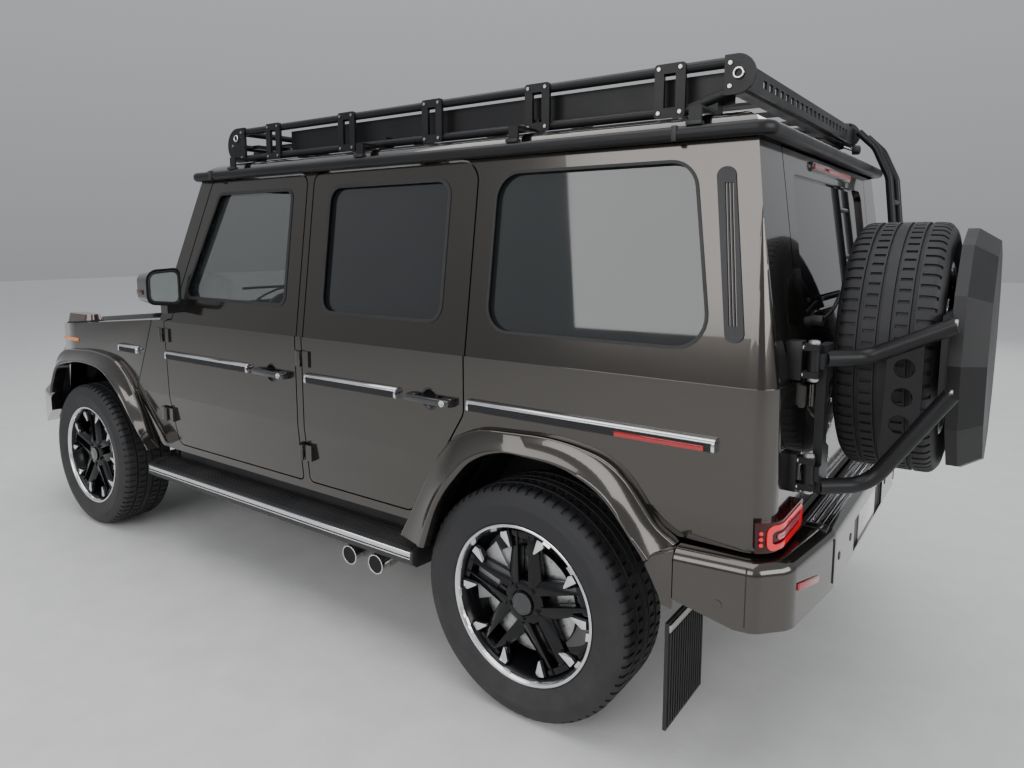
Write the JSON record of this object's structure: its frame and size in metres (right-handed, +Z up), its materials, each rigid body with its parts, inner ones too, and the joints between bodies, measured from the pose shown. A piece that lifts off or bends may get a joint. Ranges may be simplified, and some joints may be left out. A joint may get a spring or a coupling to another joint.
{
  "type": "lifted off-road 4x4",
  "caption": "Upright four-door off-road car with opening doors, steering wheels, roof rack, rear ladder and a swing-away spare wheel carrier.",
  "frame": {"origin": "on the ground under the middle of the overall box", "axes": "+X forward, +Y to the car's left, +Z up"},
  "size_m": [4.966, 2.176, 2.075],
  "materials": {
    "paint": "gloss metallic bronze grey",
    "glass": "clear",
    "tinted_glass": "dark tint",
    "black_plastic": "satin",
    "black_metal": "satin powder coat",
    "chassis": "matt chassis paint",
    "clear_lamp": "clear lens",
    "amber_lamp": "amber lens",
    "red_lamp": "red lens",
    "rim": "gloss black with turned edge",
    "tyre": "rubber",
    "steel": "stainless",
    "flap_rubber": "ribbed rubber",
    "leather": "dark hide"
  },
  "bodies": {
    "body": {"body_side_left": "paint", "body_side_right": "paint", "carrier_brackets": "black_metal", "cowl": "paint", "dashboard": "black_plastic", "driveline": "chassis", "engine_block": "chassis", "exhaust": "steel", "fixed_glass": "glass", "floor_pan": "chassis", "front_axle": "chassis", "front_bumper": "paint", "front_panel": "paint", "front_wings": "paint", "grille": "black_plastic", "headlamps": "clear_lamp", "indicator_pods": "amber_lamp", "ladder_frame": "chassis", "mud_flaps": "flap_rubber", "rear_axle": "chassis", "rear_bumper": "paint", "rear_ladder": "black_metal", "roof_gutter": "black_metal", "roof_panel": "paint", "roof_rack": "black_metal", "running_boards": "black_plastic", "seats": "leather", "side_vents": "black_plastic", "tail_lamps": "red_lamp", "wheel_flares": "paint", "wheelhouses": "black_plastic"},
    "door_front_left": {"door_front_left": "paint", "door_front_glass_left": "glass", "mirror_left": "black_plastic"},
    "door_front_right": {"door_front_right": "paint", "door_front_glass_right": "glass", "mirror_right": "black_plastic"},
    "door_rear_left": {"door_rear_left": "paint", "door_rear_glass_left": "tinted_glass"},
    "door_rear_right": {"door_rear_right": "paint", "door_rear_glass_right": "tinted_glass"},
    "bonnet": {"bonnet": "paint"},
    "tailgate": {"tailgate": "paint", "tailgate_glass": "tinted_glass"},
    "spare_carrier": {"spare_carrier": "black_metal", "spare_rim": "rim", "spare_tyre": "tyre", "spare_cover": "black_plastic"},
    "knuckle_left": {"knuckle_left": "chassis"},
    "knuckle_right": {"knuckle_right": "chassis"},
    "tie_rod": {"tie_rod": "chassis"},
    "wheel_front_left": {"rim_front_left": "rim", "tyre_front_left": "tyre"},
    "wheel_front_right": {"rim_front_right": "rim", "tyre_front_right": "tyre"},
    "wheel_rear_left": {"rim_rear_left": "rim", "tyre_rear_left": "tyre"},
    "wheel_rear_right": {"rim_rear_right": "rim", "tyre_rear_right": "tyre"}
  },
  "joints": [
    {"name": "door_front_left_hinge", "type": "hinge", "parent": "body", "child": "door_front_left", "pos_m": [0.822, 0.932, 1], "axis": [0, 0, -1], "range_deg": [0, 70]},
    {"name": "door_rear_left_hinge", "type": "hinge", "parent": "body", "child": "door_rear_left", "pos_m": [-0.199, 0.932, 1], "axis": [0, 0, -1], "range_deg": [0, 70]},
    {"name": "door_front_right_hinge", "type": "hinge", "parent": "body", "child": "door_front_right", "pos_m": [0.822, -0.932, 1], "axis": [0, 0, 1], "range_deg": [0, 70]},
    {"name": "door_rear_right_hinge", "type": "hinge", "parent": "body", "child": "door_rear_right", "pos_m": [-0.199, -0.932, 1], "axis": [0, 0, 1], "range_deg": [0, 70]},
    {"name": "bonnet_hinge", "type": "hinge", "parent": "body", "child": "bonnet", "pos_m": [0.964, 0, 1.17], "axis": [0, -1, 0], "range_deg": [0, 60]},
    {"name": "tailgate_hinge", "type": "hinge", "parent": "body", "child": "tailgate", "pos_m": [-2.071, 0.614, 1], "axis": [0, 0, -1], "range_deg": [0, 90]},
    {"name": "spare_carrier_hinge", "type": "hinge", "parent": "body", "child": "spare_carrier", "pos_m": [-2.104, 0.745, 1.1], "axis": [0, 0, -1], "range_deg": [0, 90]},
    {"name": "steer_left", "type": "hinge", "parent": "body", "child": "knuckle_left", "pos_m": [1.603, 0.7, 0.393], "axis": [0, 0, 1], "range_deg": [-30, 30]},
    {"name": "steer_right", "type": "hinge", "parent": "body", "child": "knuckle_right", "pos_m": [1.603, -0.7, 0.393], "axis": [0, 0, 1], "range_deg": [-30, 30]},
    {"name": "tie_rod_pivot", "type": "hinge", "parent": "knuckle_left", "child": "tie_rod", "pos_m": [1.453, 0.7, 0.341], "axis": [0, 0, 1], "range_deg": [-30, 30]},
    {"name": "wheel_front_left_spin", "type": "hinge", "parent": "knuckle_left", "child": "wheel_front_left", "pos_m": [1.603, 0.8255, 0.393], "axis": [0, 1, 0], "continuous": true},
    {"name": "wheel_front_right_spin", "type": "hinge", "parent": "knuckle_right", "child": "wheel_front_right", "pos_m": [1.603, -0.8255, 0.393], "axis": [0, 1, 0], "continuous": true},
    {"name": "wheel_rear_left_spin", "type": "hinge", "parent": "body", "child": "wheel_rear_left", "pos_m": [-1.287, 0.8255, 0.393], "axis": [0, 1, 0], "continuous": true},
    {"name": "wheel_rear_right_spin", "type": "hinge", "parent": "body", "child": "wheel_rear_right", "pos_m": [-1.287, -0.8255, 0.393], "axis": [0, 1, 0], "continuous": true}
  ],
  "couplings": [
    {"joint": "steer_right", "follows": "steer_left", "ratio": 1},
    {"joint": "tie_rod_pivot", "follows": "steer_left", "ratio": -1},
    {"joint": "spare_carrier_hinge", "follows": "tailgate_hinge", "ratio": 1}
  ]
}
